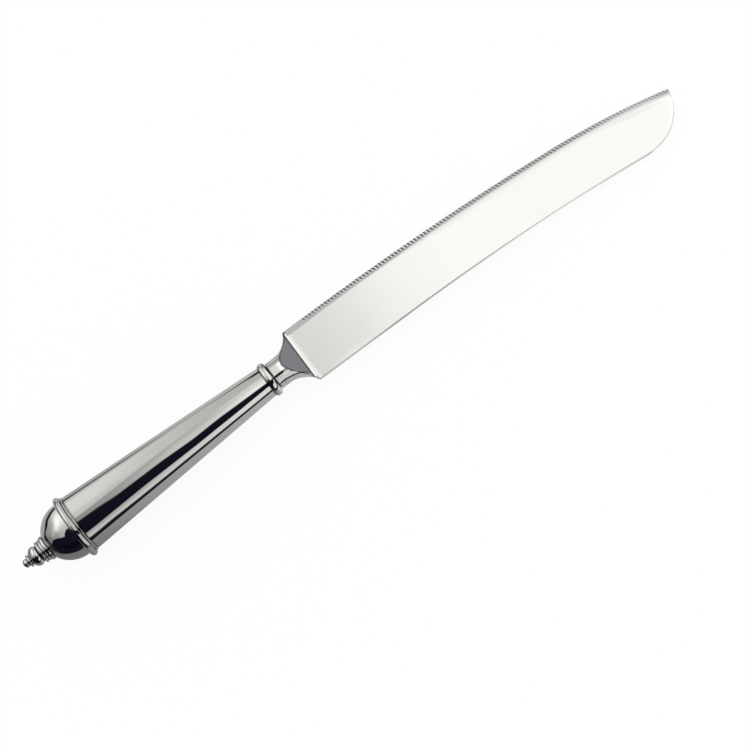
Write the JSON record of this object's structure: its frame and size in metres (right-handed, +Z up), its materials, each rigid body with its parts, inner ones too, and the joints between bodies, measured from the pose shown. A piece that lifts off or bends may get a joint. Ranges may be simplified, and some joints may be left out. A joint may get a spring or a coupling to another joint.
{
  "type": "cake knife",
  "caption": "Polished metal cake knife with a turned hollow handle, domed butt with a small finial, faceted bolster and a long, finely fluted blade.",
  "frame": {"origin": "centre of the knife's outline seen from above, on the table it lies on", "axes": "+X from the butt to the point, +Y towards the fluted edge, +Z up; the knife lies on its side on collar and nose"},
  "size_m": [0.321, 0.035, 0.0282],
  "materials": {
    "blade_steel": "polished",
    "handle_plate": "polished",
    "cement": "matte"
  },
  "bodies": {
    "root": {"blade": "blade_steel", "bolster": "handle_plate", "front_ring": "handle_plate", "handle_body": "handle_plate", "butt_collar": "handle_plate", "butt_dome": "handle_plate", "finial_collar": "handle_plate", "finial": "handle_plate", "handle_filler": "cement"}
  },
  "joints": []
}
